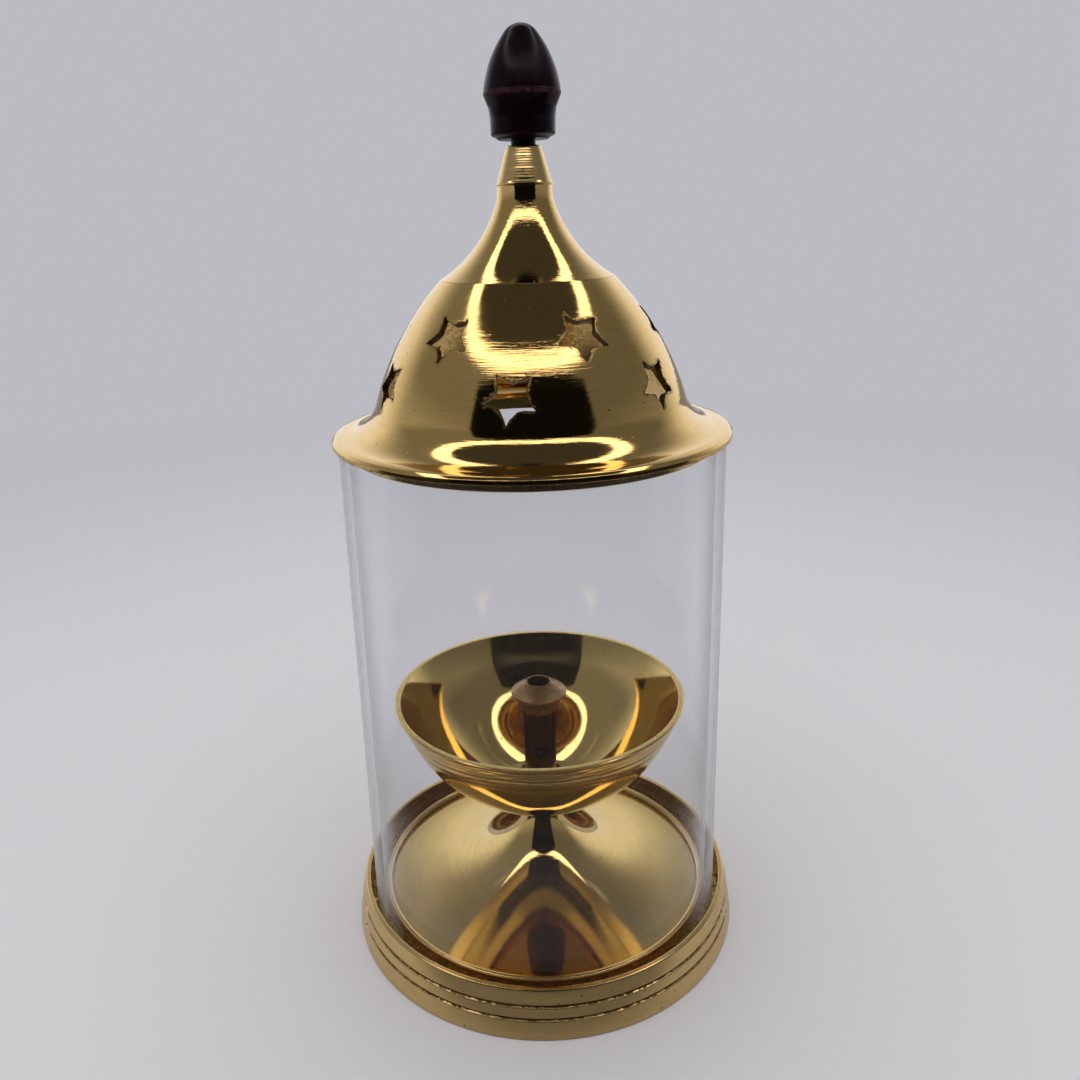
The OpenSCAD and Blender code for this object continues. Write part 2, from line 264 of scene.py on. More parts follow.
def new_material(name):
    material = bpy.data.materials.new(name)
    return material, Graph(material)


def ring_vector(g, along, per_mm, round_the_axis):
    """Coordinates that change fast along the profile and slowly round it, as a tool mark does."""
    flat = g.add("ShaderNodeVectorMath", 0, {0: g.place(), 1: (1, 1, 0)}, operation="MULTIPLY")
    outwards = g.add("ShaderNodeVectorMath", 0, {0: flat}, operation="NORMALIZE")
    return g.add("ShaderNodeCombineXYZ", 0, {
        0: g.math("MULTIPLY", along, per_mm),
        1: g.math("MULTIPLY", g.part(outwards, 0), round_the_axis),
        2: g.math("MULTIPLY", g.part(outwards, 1), round_the_axis),
    })


def turned_metal(name, colour, dark, roughness, marks, anisotropy=0.35, pits=1.0, from_mesh=True):
    """Metal turned and polished on a lathe: ring marks, small pits, faint stains, grime and painted
    shade.

    The height of the marks is in millimetres. A CAD node has no "along" and no grime or shade
    number of its own, so from_mesh is False for it, and the marks follow its height.
    """
    material, g = new_material(name)
    place = g.place()
    if from_mesh:
        along, grime_and_shade = g.attribute("along"), g.attribute("grime_and_shade")
    else:
        along = g.math("MULTIPLY", g.part(place, 2), 1 / MM)
        grime_and_shade = g.math("MULTIPLY", along, 0.0)
    fine = g.noise(ring_vector(g, along, 2.4, 3.5), 1.0, 3.0, 0.62)
    lines = g.noise(ring_vector(g, along, 0.45, 2.2), 1.0, 2.0, 0.5)
    waves = g.noise(ring_vector(g, along, 0.09, 1.1), 1.0, 1.0, 0.4)
    stains = g.noise(place, 60.0, 4.0, 0.6)
    specks = g.noise(place, 900.0, 3.0, 0.7)
    cells = g.add("ShaderNodeTexVoronoi", "Distance", {"Vector": place, "Scale": 420.0})
    pitted = g.ramp(stains, 0.48, 0.56, 0.0, pits)
    pit = g.math("MULTIPLY", g.ramp(cells, 0.05, 0.11, 1.0, 0.0), pitted)
    # Above 1 the number is painted shade, solid black; below 1 it darkens in specks, for grime and
    # painted shade alike.
    solid_shade = g.math("SUBTRACT", grime_and_shade, 1.0, clamp=True)
    dirt_and_shade = g.math("ADD", solid_shade, g.math("MULTIPLY", grime_and_shade, g.ramp(specks, 0.38, 0.62)), clamp=True)
    stained, black = (0.82 * c for c in colour), (0.25 * c for c in dark)
    tone = g.mix(g.ramp(stains, 0.35, 0.72, 0.0, 0.35), (*colour, 1), (*stained, 1))
    tone = g.mix(g.ramp(fine, 0.35, 0.75, 0.0, 0.18), tone, (*dark, 1))
    tone = g.mix(g.math("MAXIMUM", g.math("MULTIPLY", dirt_and_shade, 0.9), pit), tone, (*black, 1))
    rough = g.math("ADD", g.ramp(fine, 0.3, 0.75, roughness * 0.75, roughness * 1.35),
                   g.math("MULTIPLY", g.math("MAXIMUM", dirt_and_shade, pit), 0.45))
    rough = g.math("ADD", rough, g.ramp(stains, 0.45, 0.75, 0.0, roughness * 0.5))
    height = g.math("ADD", g.math("MULTIPLY", fine, marks), g.math("MULTIPLY", lines, marks * 1.8))
    height = g.math("ADD", height, g.math("MULTIPLY", waves, marks * 4))
    height = g.math("SUBTRACT", height, g.math("MULTIPLY", pit, 0.02))
    height = g.math("SUBTRACT", height, g.math("MULTIPLY", dirt_and_shade, 0.002))
    tangent = g.add("ShaderNodeTangent", 0, direction_type="RADIAL", axis="Z")
    g.end(g.add("ShaderNodeBsdfPrincipled", 0, {
        "Base Color": tone, "Metallic": 1.0, "Roughness": rough,
        "Anisotropic": anisotropy, "Tangent": tangent, "Normal": g.bump(height),
    }))
    return material


def glass_material():
    """Clear drawn glass: almost nothing seen face on, mirror-like and paler where it turns away, a
    painted sheen.
    """
    material, g = new_material("clear_glass")
    drawn = g.add("ShaderNodeVectorMath", 0, {0: g.place(), 1: (60, 60, 5)}, operation="MULTIPLY")
    waves = g.math("MULTIPLY", g.noise(drawn, 1.0, 1.0), 0.02)
    away = g.add("ShaderNodeLayerWeight", "Facing", {"Blend": 0.5})
    mirrored = g.math("ADD", 0.035, g.math("MULTIPLY", g.math("POWER", away, 5.0), 0.6))
    clear = g.add("ShaderNodeBsdfTransparent", 0, {"Color": (0.975, 0.98, 0.99, 1)})
    shine = g.add("ShaderNodeBsdfGlossy", 0, {
        "Color": (1, 1, 1, 1), "Roughness": 0.02, "Normal": g.bump(waves)})
    # Painted sheen: a pale diffuse layer at the edges stands in for light the glass walls carry.
    pale = g.add("ShaderNodeBsdfDiffuse", 0, {"Color": (0.80, 0.83, 0.87, 1)})
    g.end(g.blend(g.ramp(away, 0.6, 1.0, 0.008, 0.55), g.blend(mirrored, clear, shine), pale))
    return material


def knob_material():
    """Moulded plastic, almost black and glossy, with a worn and reddish ring."""
    material, g = new_material("dark_knob")
    place = g.place()
    chafed = g.ramp(g.noise(place, 900.0, 4.0, 0.7), 0.3, 0.6)
    worn = g.math("MULTIPLY", g.attribute("grime_and_shade"), chafed, clamp=True)
    mottle = g.noise(place, 120.0, 4.0, 0.6)
    tone = g.mix(g.ramp(mottle, 0.35, 0.7), (0.004, 0.0012, 0.003, 1), (0.009, 0.003, 0.006, 1))
    tone = g.mix(worn, tone, (0.085, 0.03, 0.032, 1))
    rough = g.math("ADD", g.ramp(mottle, 0.3, 0.7, 0.2, 0.34), g.math("MULTIPLY", worn, 0.4))
    dents = g.math("MULTIPLY", g.noise(place, 45.0, 1.0), 0.35)
    height = g.math("ADD", dents, g.math("MULTIPLY", g.noise(place, 1500.0, 2.0), 0.012))
    height = g.math("SUBTRACT", height, g.math("MULTIPLY", worn, 0.06))
    g.end(g.add("ShaderNodeBsdfPrincipled", 0, {
        "Base Color": tone, "Roughness": rough, "Specular IOR Level": 0.14,
        "Normal": g.bump(height),
    }))
    return material


def fibre_material():
    """Pressed red-brown fibre."""
    material, g = new_material("seal_fibre")
    strands = g.noise(g.place(), 2500.0, 4.0, 0.7)
    tone = g.mix(strands, (0.20, 0.07, 0.04, 1), (0.36, 0.16, 0.10, 1))
    g.end(g.add("ShaderNodeBsdfPrincipled", 0, {
        "Base Color": tone, "Roughness": 0.8, "Normal": g.bump(g.math("MULTIPLY", strands, 0.05))}))
    return material


BRASS_DARK = (0.42, 0.25, 0.08)
polished = turned_metal("polished_brass", (0.82, 0.56, 0.205), BRASS_DARK, 0.07, 0.017)
mirror = turned_metal("polished_brass_inside", (0.86, 0.62, 0.23), BRASS_DARK, 0.055, 0.005,
                      anisotropy=0.2)
turned = turned_metal("turned_brass", (0.86, 0.62, 0.27), BRASS_DARK, 0.17, 0.005, anisotropy=0.5)
burner = turned_metal("burner_brass", (0.52, 0.35, 0.18), (0.24, 0.13, 0.07), 0.34, 0.006)
sooty = turned_metal("burner_tube_brass", (0.13, 0.07, 0.04), (0.06, 0.03, 0.02), 0.36, 0.001,
                     pits=0.0, from_mesh=False)
insert = turned_metal("insert_brass", (0.76, 0.55, 0.27), BRASS_DARK, 0.25, 0.004, from_mesh=False)
steel = turned_metal("plated_steel", (0.62, 0.62, 0.63), (0.4, 0.4, 0.42), 0.28, 0.004,
                     from_mesh=False)
glass = glass_material()
knob_finish = knob_material()


# ---------------------------------------------------------------- base

def tray_wall(z):
    """The tray's outer radius at a height: it leans in, more so towards the top."""
    share = z / TRAY_H
    return TRAY_R - WALL_LEAN * (0.5 * share + 0.5 * share * share)


def tray_groove(z, width=0.85, depth=0.5):
    """A narrow groove turned in the tray's wall."""
    return [
        (tray_wall(z - width / 2), z - width / 2, 0.25),
        (tray_wall(z) - depth, z - 0.08, 0.15),
        (tray_wall(z) - depth, z + 0.08, 0.15),
        (tray_wall(z + width / 2), z + width / 2, 0.25),
    ]


def tray_points():
    ring_out, ring_in, ring_top = GLASS_R - GLASS_T - 0.5, FOOT_R + 0.2, 10.2
    bead, ledge_r, bolt_hole_r = (ring_out - ring_in) / 2, FOOT_R - 1.3, M5_R + 0.3
    walls = []
    for start, end in TRAY_WALLS:
        heights = [start + (end - start) * i / 4 for i in range(5)]
        walls.append([(tray_wall(z), z) for z in heights])
    return (
        [(bolt_hole_r, WEB_LOW), (TRAY_RECESS_R - 4, WEB_LOW, 0.6)]
        + [(TRAY_RECESS_R, 2.6, 0.4), (TRAY_RECESS_R, 0.0, 0.35), (tray_wall(0) - 0.1, 0.0, 0.45)]
        + walls[0] + tray_groove(TRAY_GROOVES[0])
        + walls[1] + tray_groove(TRAY_GROOVES[1])
        + walls[2]
        + [(tray_wall(TRAY_H) + 0.02, TRAY_H, 0.4), (CHANNEL_R, TRAY_H, 0.3)]
        + [(CHANNEL_R, CHANNEL_Z, 0.3), (ring_out, CHANNEL_Z, 0.3)]
        + arc(ring_out - bead, ring_top - bead, bead, 0, 180, 14)
        + [(ring_in, LEDGE_Z, 0.15), (ledge_r, LEDGE_Z, 0.15)]
        + [(ledge_r, WEB_TOP, 0.3), (bolt_hole_r, WEB_TOP)]
    )


def tray_painted_shade(r, z):
    """Painted shade: black in the grooves, some in the channel, and a little on the underside and
    the web.
    """
    wall_from, channel_from, web_to = 46.6, 42, 40
    grooves = 2.5 * max(band(z, at, 0.5) for at in TRAY_GROOVES) if r > wall_from else 0
    channel = band(z, CHANNEL_Z, 1.5) if channel_from < r < wall_from else 0
    under = 0.35 if z < 0.3 or r < web_to else 0
    return max(grooves, 0.9 * channel, under)


def flare(steps=70):
    """The foot's skin, a quarter of an ellipse from the edge up to the stem."""
    points = []
    for i in range(steps + 1):
        a = math.pi / 2 * (1 - i / steps)
        points.append((
            STEM_R + (FOOT_R - STEM_R) * (1 - math.cos(a)),
            FOOT_Z + (STEM_TOP - FOOT_Z) * (1 - math.sin(a)),
        ))
    return points


def foot_points():
    skin, boss_r, hole_r = flare(), 7.0, M5_R + FIT_GAP
    bolt_end, stud_end = WEB_TOP + 11.5, STEM_TOP - 10.5
    under = [(r - FOOT_T * 0.35, z - FOOT_T) for r, z in skin if r > boss_r + FOOT_T]
    return (
        [(0, bolt_end), (hole_r, bolt_end), (hole_r, WEB_TOP), (boss_r, WEB_TOP, 0.3)]
        + [(boss_r, under[-1][1], 0.8)] + under[:0:-1]
        + [(FOOT_R - 1.6, LEDGE_Z), (FOOT_R, LEDGE_Z, 0.2)]
        + skin[:-1] + [(STEM_R, STEM_TOP, 0.15)]
        + [(hole_r, STEM_TOP), (hole_r, stud_end), (0, stud_end)]
    )


def foot_grime(r, z):
    """A line where the foot meets the tray."""
    return 0.7 * band(r, FOOT_R, 0.8) if z < FOOT_Z + 1 else 0.0


lathe("tray", "base", turned, tray_points(), ["base_tray"], grime_and_shade=tray_painted_shade)
lathe("foot_and_stem", "base", mirror, foot_points(), ["pedestal"],
      closed=False, grime_and_shade=foot_grime)


# ---------------------------------------------------------------- bowl and burner

def bowl_points():
    ball_in, lip = BALL_R - BOWL_T, math.radians(LIP_ANGLE)
    lip_z, lip_r = BALL_Z - BALL_R * math.sin(lip), BALL_R * math.cos(lip)
    stem_angle = math.degrees(math.acos(STEM_R / BALL_R))
    floor_angle = math.degrees(math.asin((BALL_Z - BOWL_FLOOR_Z - 0.4) / ball_in))
    bore_r = M5_R + RUN_GAP

    def lip_at(z):
        return lip_r + (BOWL_R - lip_r) * (z - lip_z) / (BOWL_RIM - lip_z)

    lines = []
    for z, depth in (
        (lip_z + 0.25, 0.16), (BOWL_RIM - BOWL_LINE, 0.3),
        (BOWL_RIM - 2.9, 0.07), (BOWL_RIM - 2.1, 0.05), (BOWL_RIM - 1.3, 0.06),
    ):
        lines += [(lip_at(z - 0.2), z - 0.2, 0.1), (lip_at(z) - depth, z, 0.08)]
        lines += [(lip_at(z + 0.2), z + 0.2, 0.1)]
    return (
        [(bore_r, STEM_TOP), (STEM_R, STEM_TOP, 0.15)]
        + arc(0, BALL_Z, BALL_R, -stem_angle, -LIP_ANGLE, 48)
        + lines
        + [(BOWL_R, BOWL_RIM - 0.2, 0.15), (BOWL_R - 0.25, BOWL_RIM, 0.2)]
        + [(BOWL_R - BOWL_T + 0.15, BOWL_RIM, 0.2)]
        + arc(0, BALL_Z, ball_in, -LIP_ANGLE + 9, -floor_angle, 56)[8:]
        + [(6.2, BOWL_FLOOR_Z, 0.3), (bore_r, BOWL_FLOOR_Z)]
    )


def bowl_darkening(r, z):
    """Darker along the rim and the deepest line, and more so on the floor round the burner."""
    floor = 0.5 if r < 7 and z > 33 else 0
    return max(0.25 * band(z, BOWL_RIM, 0.25), 0.55 * band(z, BOWL_RIM - BOWL_LINE, 0.2), floor)


def nozzle_points():
    nozzle_top, low_z, edge_r = top("wick_nozzle"), low("wick_nozzle"), radius("wick_nozzle")
    edge_z, seat_z, seat_r = nozzle_top - 2.6, nozzle_top - 3.45, TUBE_R + FIT_GAP
    return [
        (seat_r, low_z), (NOZZLE_NECK_R, low_z, 0.2), (NOZZLE_NECK_R, low_z + 1.6, 0.15),
        (edge_r, edge_z - 0.4, 0.12), (edge_r, edge_z, 0.12),
        (WICK_R + 0.45, nozzle_top, 0.25), (WICK_R, nozzle_top, 0.2),
        (WICK_R, seat_z), (seat_r, seat_z),
    ]


def nozzle_grime(r, z):
    """Soot round the wick's hole, and grime on the neck."""
    soot = 0.8 * band(r, 3.0, 0.6) if z > 62 else 0
    return max(soot, 0.5 * band(r, NOZZLE_NECK_R, 0.5))


lathe("bowl", "bowl", mirror, bowl_points(), ["oil_bowl"], grime_and_shade=bowl_darkening)
lathe("nozzle", "burner", burner, nozzle_points(), ["wick_nozzle"],
      grime_and_shade=nozzle_grime)


# ---------------------------------------------------------------- glass

lathe("chimney", "chimney", glass, [
    (GLASS_R - GLASS_T, CHANNEL_Z, 0.8), (GLASS_R, CHANNEL_Z, 0.8),
    (GLASS_R, LID_Z, 0.7), (GLASS_R - GLASS_T, LID_Z, 0.7),
], ["glass_chimney"])


# ---------------------------------------------------------------- dome with its star vents

SEAM = math.radians(7)  # where the flat sheet's sides meet, clear of every star
SHEET_WIDTH = 36.0  # the flat sheet's width for one radian round the dome
SHEET_STEP, RIM_GAP = 0.95, 0.4  # its rows' spacing, and how near a hole its own points come
OUTER_SKIN, INNER_SKIN = 1, 2
# Painted shade: the star holes' rims and cut walls are painted dark, and the dome's inner skin a
# little.
STAR_RIM_SHADE, STAR_WALL_SHADE, INSIDE_SHADE = 1.3, 2.2, 0.35
STAR_ALONG = 300  # where the star walls' own ring marks start, clear of the skins'


def dome_point(r_arc, angle, azimuth):
    return spun(DOME_X + r_arc * math.cos(angle), DOME_Z + r_arc * math.sin(angle), azimuth)


def hand_cut_star(number):
    """A star's outline as a saw and a file leave it: sides that bow a little, and blunt tips."""
    hand = random.Random(number)
    corners = []
    for i in range(10):
        notch = i % 2 == 0
        angle = math.radians(STAR_TURN + 90 + 36 * i + hand.uniform(-2.5, 2.5))
        reach, slip, blunt = (STAR_NOTCH, 0.03, 0.42) if notch else (STAR_TIP, 0.0, 0.13)
        reach *= 1 + hand.uniform(-0.06, slip)
        corners.append((reach * math.cos(angle), reach * math.sin(angle), blunt))
    line = rounded(corners)
    outline = []
    for i, p in enumerate(line):
        a, b = Vector(p), Vector(line[(i + 1) % len(line)])
        outline.append(a)
        length = (b - a).length
        if length < 1:
            continue
        across = Vector((b.y - a.y, a.x - b.x)) / length
        bow, ripple, phase = hand.uniform(-0.22, 0.05), hand.uniform(0.03, 0.08), hand.uniform(0, 6)
        count = round(length / 0.3)
        for k in range(1, count):
            t = k / count
            off = math.sin(math.pi * t) * (bow + ripple * math.sin(7 * t + phase))
            outline.append(a.lerp(b, t) + across * off)
    return outline


def widened(outline, by):
    """The outline moved outwards."""
    moved = []
    for i, p in enumerate(outline):
        step = outline[(i + 1) % len(outline)] - outline[i - 1]
        moved.append(p + Vector((step.y, -step.x)).normalized() * by)
    return moved


def through(outline, z, azimuth, r_arc, sink=0.0):
    """Where lines square to the dome, through the outline, meet a skin of the dome.

    Each is (angle up the dome's arc, azimuth, point in metres).
    """
    lean = math.asin((z - DOME_Z) / DOME_R)
    radius_here = DOME_X + DOME_R * math.cos(lean)

    def at(p, depth):
        out = radius_here + depth * math.cos(lean) - p.y * math.sin(lean)
        return out, z + depth * math.sin(lean) + p.y * math.cos(lean)

    found = []
    for p in outline:
        depth = 0.0
        for _ in range(30):
            out, height = at(p, depth)
            depth -= math.hypot(math.hypot(out, p.x) - DOME_X, height - DOME_Z) - r_arc
        out, height = at(p, depth - sink)
        r, turn = math.hypot(out, p.x), azimuth + math.atan2(p.x, out)
        found.append((math.atan2(height - DOME_Z, r - DOME_X), turn, spun(r, height, turn)))
    return found


def inside(point, outline):
    """Whether a point is inside a closed outline, by how often a level line crosses it."""
    x, y = point
    result = False
    for i, (ax, ay) in enumerate(outline):
        bx, by = outline[i - 1]
        if (ay > y) != (by > y) and x < (bx - ax) * (y - ay) / (by - ay) + ax:
            result = not result
    return result


def pierced_skin(mesh, r_arc, angle_low, angle_high, holes, skin_number, along_from):
    """A skin of the dome with star holes in it. Gives back each hole's rim as vertices.

    The sheet is meshed flat, with azimuth across and the dome's arc up, and then bent round.
    """
    along, grime_and_shade = mesh.verts.layers.float["along"], mesh.verts.layers.float["grime_and_shade"]
    skin = mesh.faces.layers.int["skin"]
    rows = round(r_arc * (angle_high - angle_low) / SHEET_STEP)
    flat_holes, boxes = [], []
    for hole in holes:
        flat_holes.append([(turn * SHEET_WIDTH, angle * r_arc) for angle, turn, _ in hole])
        across, up = zip(*flat_holes[-1])
        boxes.append((min(across) - 0.5, max(across) + 0.5, min(up) - 0.5, max(up) + 0.5))

    def hole_at(u, v, gap):
        """Whether the place is inside a hole, or nearer than the gap to its rim."""
        for hole, (x0, x1, y0, y1) in zip(flat_holes, boxes):
            if x0 < u < x1 and y0 < v < y1:
                if inside((u, v), hole) or min(math.dist((u, v), p) for p in hole) < gap:
                    return True
        return False

    points, edges = [], []
    for hole in flat_holes:
        first = len(points)
        points += hole
        edges += [(first + i, first + (i + 1) % len(hole)) for i in range(len(hole))]
    for row in range(rows + 1):
        v = (angle_low + (angle_high - angle_low) * row / rows) * r_arc
        for column in range(COLUMNS + 1):
            u = (SEAM + 2 * math.pi * column / COLUMNS) * SHEET_WIDTH
            if not hole_at(u, v, RIM_GAP):
                points.append((u, v))
    flat, _, faces, origin, _, _ = delaunay_2d_cdt([Vector(p) for p in points], edges, [], 0, 1e-5)
    verts = []
    for u, v in flat:
        vert = mesh.verts.new(dome_point(r_arc, v / r_arc, u / SHEET_WIDTH))
        vert[along] = along_from + v
        # The inner skin is painted a little dark, as shade inside the dome.
        vert[grime_and_shade] = 0.0 if skin_number == OUTER_SKIN else INSIDE_SHADE
        verts.append(vert)
    for face in faces:
        u, v = (sum(flat[i][axis] for i in face) / len(face) for axis in (0, 1))
        if not hole_at(u, v, 0.0):
            mesh.faces.new([verts[i] for i in face])[skin] = skin_number
    by_source = {source: verts[i] for i, sources in enumerate(origin) for source in sources}
    rims, first = [], 0
    for hole in flat_holes:
        rims.append([by_source[first + i] for i in range(len(hole))])
        first += len(hole)
    for vert in verts:
        if not vert.link_faces:
            mesh.verts.remove(vert)
    return rims


def dome_grime(r, z):
    """Some on the flange's lower edge, and a little on the spigot."""
    edge = band(z, LID_Z, 0.6) if r > FLANGE_R - 0.8 else 0.0
    return max(edge, 0.3 if r < SPIGOT_R + 0.1 and z < LID_Z + 0.5 else 0)


def skirt_points():
    """The turned part below the stars: inner fillet, spigot, flange and outer fillet."""
    join = 180 + math.degrees(JOIN_ANGLE)
    spigot_in, spigot_low = SPIGOT_R - 1.5, LID_Z - 2.4
    return (
        arc(FILLET_X, FILLET_Z, FILLET_R + DOME_T, join, 248, 16)
        + [(spigot_in, LID_Z + 0.6, 0.5), (spigot_in, spigot_low, 0.2)]
        + [(SPIGOT_R, spigot_low, 0.3), (SPIGOT_R, LID_Z, 0.15)]
        + [(FLANGE_R, LID_Z, 0.25), (FLANGE_R, LID_Z + 1.05, 0.35)]
        + [(FLANGE_R - 0.55, LID_Z + 1.6, 0.5)]
        + arc(FILLET_X, FILLET_Z, FILLET_R, 268, join, 30)
    )


def cut_wall(mesh, outline, z, azimuth, outer_rim, inner_rim, inner_r):
    """The cut through the sheet round one star, with both rims broken by 0.08 mm; rim and cut are
    painted dark as shade.
    """
    along, grime_and_shade = mesh.verts.layers.float["along"], mesh.verts.layers.float["grime_and_shade"]
    for vert in outer_rim:
        vert[grime_and_shade] = STAR_RIM_SHADE
    loops = [outer_rim]
    for r_arc, sink in ((DOME_R, 0.08), (inner_r, -0.08)):
        loop = []
        for n, (_, _, point) in enumerate(through(outline, z, azimuth, r_arc, sink)):
            vert = mesh.verts.new(point)
            vert[along], vert[grime_and_shade] = STAR_ALONG + n * 0.3, STAR_WALL_SHADE
            loop.append(vert)
        loops.append(loop)
    loops.append(inner_rim)
    for a, b in zip(loops, loops[1:]):
        for i in range(len(a)):
            k = (i + 1) % len(a)
            mesh.faces.new((a[i], a[k], b[k], b[i]))


def true_normals(data):
    """Shades both skins as the exact dome, whatever triangles the star holes left in them."""
    kinds = data.attributes["skin"].data
    normals = [(0.0, 0.0, 0.0)] * len(data.loops)
    for face in data.polygons:
        kind = kinds[face.index].value
        if not kind:
            continue
        for i in face.loop_indices:
            co = data.vertices[data.loops[i].vertex_index].co / MM
            r = math.hypot(co.x, co.y)
            out = (r - DOME_X) / r
            normal = Vector((co.x * out, co.y * out, co.z - DOME_Z)).normalized()
            normals[i] = tuple(normal if kind == OUTER_SKIN else -normal)
    data.normals_split_custom_set(normals)


def make_dome():
    mesh = new_mesh()
    mesh.faces.layers.int.new("skin")
    inner_r = DOME_R - DOME_T
    inner_top = math.asin((CREASE_Z - LAND_T - DOME_Z) / inner_r)
    skirt = rounded(skirt_points(), closed=False)
    revolve(mesh, skirt, False, dome_grime, SEAM)
    # "along" runs on from the skirt over the dome and the land, so that no seam shows
    outer_from = sum(math.dist(a, b) for a, b in zip(skirt, skirt[1:])) - JOIN_ANGLE * DOME_R
    land = [
        (DOME_X + DOME_R * math.cos(CREASE_ANGLE), CREASE_Z),
        (DOME_HOLE_R, CREASE_Z), (DOME_HOLE_R, CREASE_Z - LAND_T),
        (DOME_X + inner_r * math.cos(inner_top), CREASE_Z - LAND_T),
    ]
    revolve(mesh, land, False, dome_grime, SEAM, outer_from + CREASE_ANGLE * DOME_R)
    stars = []
    for z, first in STAR_ROWS:
        for i in range(6):
            azimuth = math.radians(first + 60 * i)
            stars.append((z, azimuth + (2 * math.pi if azimuth < SEAM else 0)))
    outlines = [hand_cut_star(n + 1) for n in range(len(stars))]
    outer = [through(widened(o, 0.09), z, a, DOME_R) for o, (z, a) in zip(outlines, stars)]
    inner = [through(widened(o, 0.06), z, a, inner_r) for o, (z, a) in zip(outlines, stars)]
    outer_rims = pierced_skin(
        mesh, DOME_R, JOIN_ANGLE, CREASE_ANGLE, outer, OUTER_SKIN, outer_from)
    inner_rims = pierced_skin(
        mesh, inner_r, JOIN_ANGLE, inner_top, inner, INNER_SKIN, -JOIN_ANGLE * inner_r)
    for outline, (z, azimuth), first, last in zip(outlines, stars, outer_rims, inner_rims):
        cut_wall(mesh, outline, z, azimuth, first, last, inner_r)
    piece = finish_piece(mesh, "dome", "lid", polished, ["dome_shell"])
    true_normals(piece.data)


make_dome()


# ---------------------------------------------------------------- spire, collar and knob

def spire_points():
    """A hollow flare round (spire_x, spire_z), with a plug that drops into the dome's hole."""
    spire_top, low_z = top("dome_spire"), CREASE_Z - LAND_T - 1
    crease_r = DOME_X + DOME_R * math.cos(CREASE_ANGLE)
    spire_x = NECK_R + SPIRE_R - 1.09
    spire_z = CREASE_Z + math.sqrt(SPIRE_R ** 2 - (spire_x - crease_r) ** 2)
    plug_r = DOME_HOLE_R - FIT_GAP
    inner_r, hollow_r, seat_z = SPIRE_R + 2, plug_r - 1.8, spire_top - 7.3
    seat_r = spire_x - math.sqrt(inner_r ** 2 - (spire_z - seat_z) ** 2)

    def angle_at_height(z, r):
        return 180 + math.degrees(math.asin((spire_z - z) / r))

    def angle_at_radius(to_r, r):
        return 180 + math.degrees(math.acos((spire_x - to_r) / r))

    outer_angles = angle_at_height(CREASE_Z, SPIRE_R), angle_at_radius(NECK_R + 0.15, SPIRE_R)
    inner_angles = angle_at_height(seat_z, inner_r), angle_at_radius(hollow_r, inner_r)
    return (
        [(hollow_r, low_z, 0.2), (plug_r, low_z, 0.2), (plug_r, CREASE_Z)]
        + [(crease_r - 0.02, CREASE_Z, 0.1)]
        + arc(spire_x, spire_z, SPIRE_R, *outer_angles, 60)[1:]
        + [(NECK_R, spire_top - 1.5, 0.8), (NECK_R, spire_top, 0.12)]
        + [(SCREW_HOLE_R, spire_top), (SCREW_HOLE_R, seat_z), (seat_r, seat_z, 0.3)]
        + arc(spire_x, spire_z, inner_r, *inner_angles, 24)[1:]
    )


def collar_points():
    """A bright step, and a cone with fine tool marks that no two turns repeat."""
    low_z, high_z, top_r = low("neck_collar"), top("neck_collar"), 3.75
    step_r, cone_r, cone_low = NECK_R + 0.2, NECK_R - 0.05, low_z + 0.8
    pitch, depth, hand = 0.55, 0.022, random.Random(5)
    points = [
        (SCREW_HOLE_R, low_z), (step_r, low_z, 0.1), (step_r, low_z + 0.45, 0.15),
        (cone_r, cone_low, 0.1),
    ]
    z = cone_low + pitch
    while z < high_z - 0.6:
        r = cone_r + (top_r - cone_r) * (z - cone_low) / (high_z - cone_low)
        cut = depth * hand.uniform(0.5, 1.2)
        points += [(r, z, 0.05), (r - cut, z + 0.16, 0.05)]
        z += pitch * hand.uniform(0.85, 1.15)
    return points + [(top_r, high_z, 0.25), (SCREW_HOLE_R, high_z)]


def knob_points():
    """A neck, a cup, the ring at its widest, and a bud of two arcs that meet in a blunt tip."""
    low_z, knob_top, knob_r = low("lid_knob"), top("lid_knob"), radius("lid_knob")
    cup_z, neck_r, cup_r = low_z + KNOB_NECK_H, 2.7, 7.1
    edge_z = cup_z + KNOB_EDGE_H
    bud_r, bud_z = 24, cup_z + 6.5
    first = math.asin((edge_z + 0.2 - bud_z) / bud_r)
    bud_x = knob_r - bud_r * math.cos(first)
    rise = knob_top - bud_z
    tip_r = (bud_r ** 2 - bud_x ** 2 - rise ** 2) / (2 * (bud_r - rise))
    tip_z = knob_top - tip_r
    tip = math.degrees(math.atan2(tip_z - bud_z, -bud_x))
    insert_low, insert_r = cup_z + 0.8, 3.4
    insert_top = insert_low + 11
    return (
        [(0, insert_top), (insert_r, insert_top), (insert_r, insert_low)]
        + [(SCREW_HOLE_R, insert_low), (SCREW_HOLE_R, low_z)]
        + [(neck_r, low_z, 0.2), (neck_r, cup_z, 0.25)]
        + [(5.5, cup_z, 0.3), (5.9, cup_z + 0.45, 0.3), (cup_r - 0.1, cup_z + 0.9, 0.7)]
        + [(cup_r, cup_z + 4.5, 4), (cup_r + 0.25, edge_z - 3.0, 0.6)]
        + [(knob_r - 0.25, edge_z - 1.1, 0.4), (knob_r - 0.02, edge_z - 0.5, 0.3)]
        + [(knob_r, edge_z + 0.1, 0.25), (knob_r - 0.14, edge_z + 0.25, 0.1)]
        + arc(bud_x, bud_z, bud_r, math.degrees(first) + 1.2, tip, 30)
        + arc(0, tip_z, tip_r, tip, 90, 16)[1:]
    )


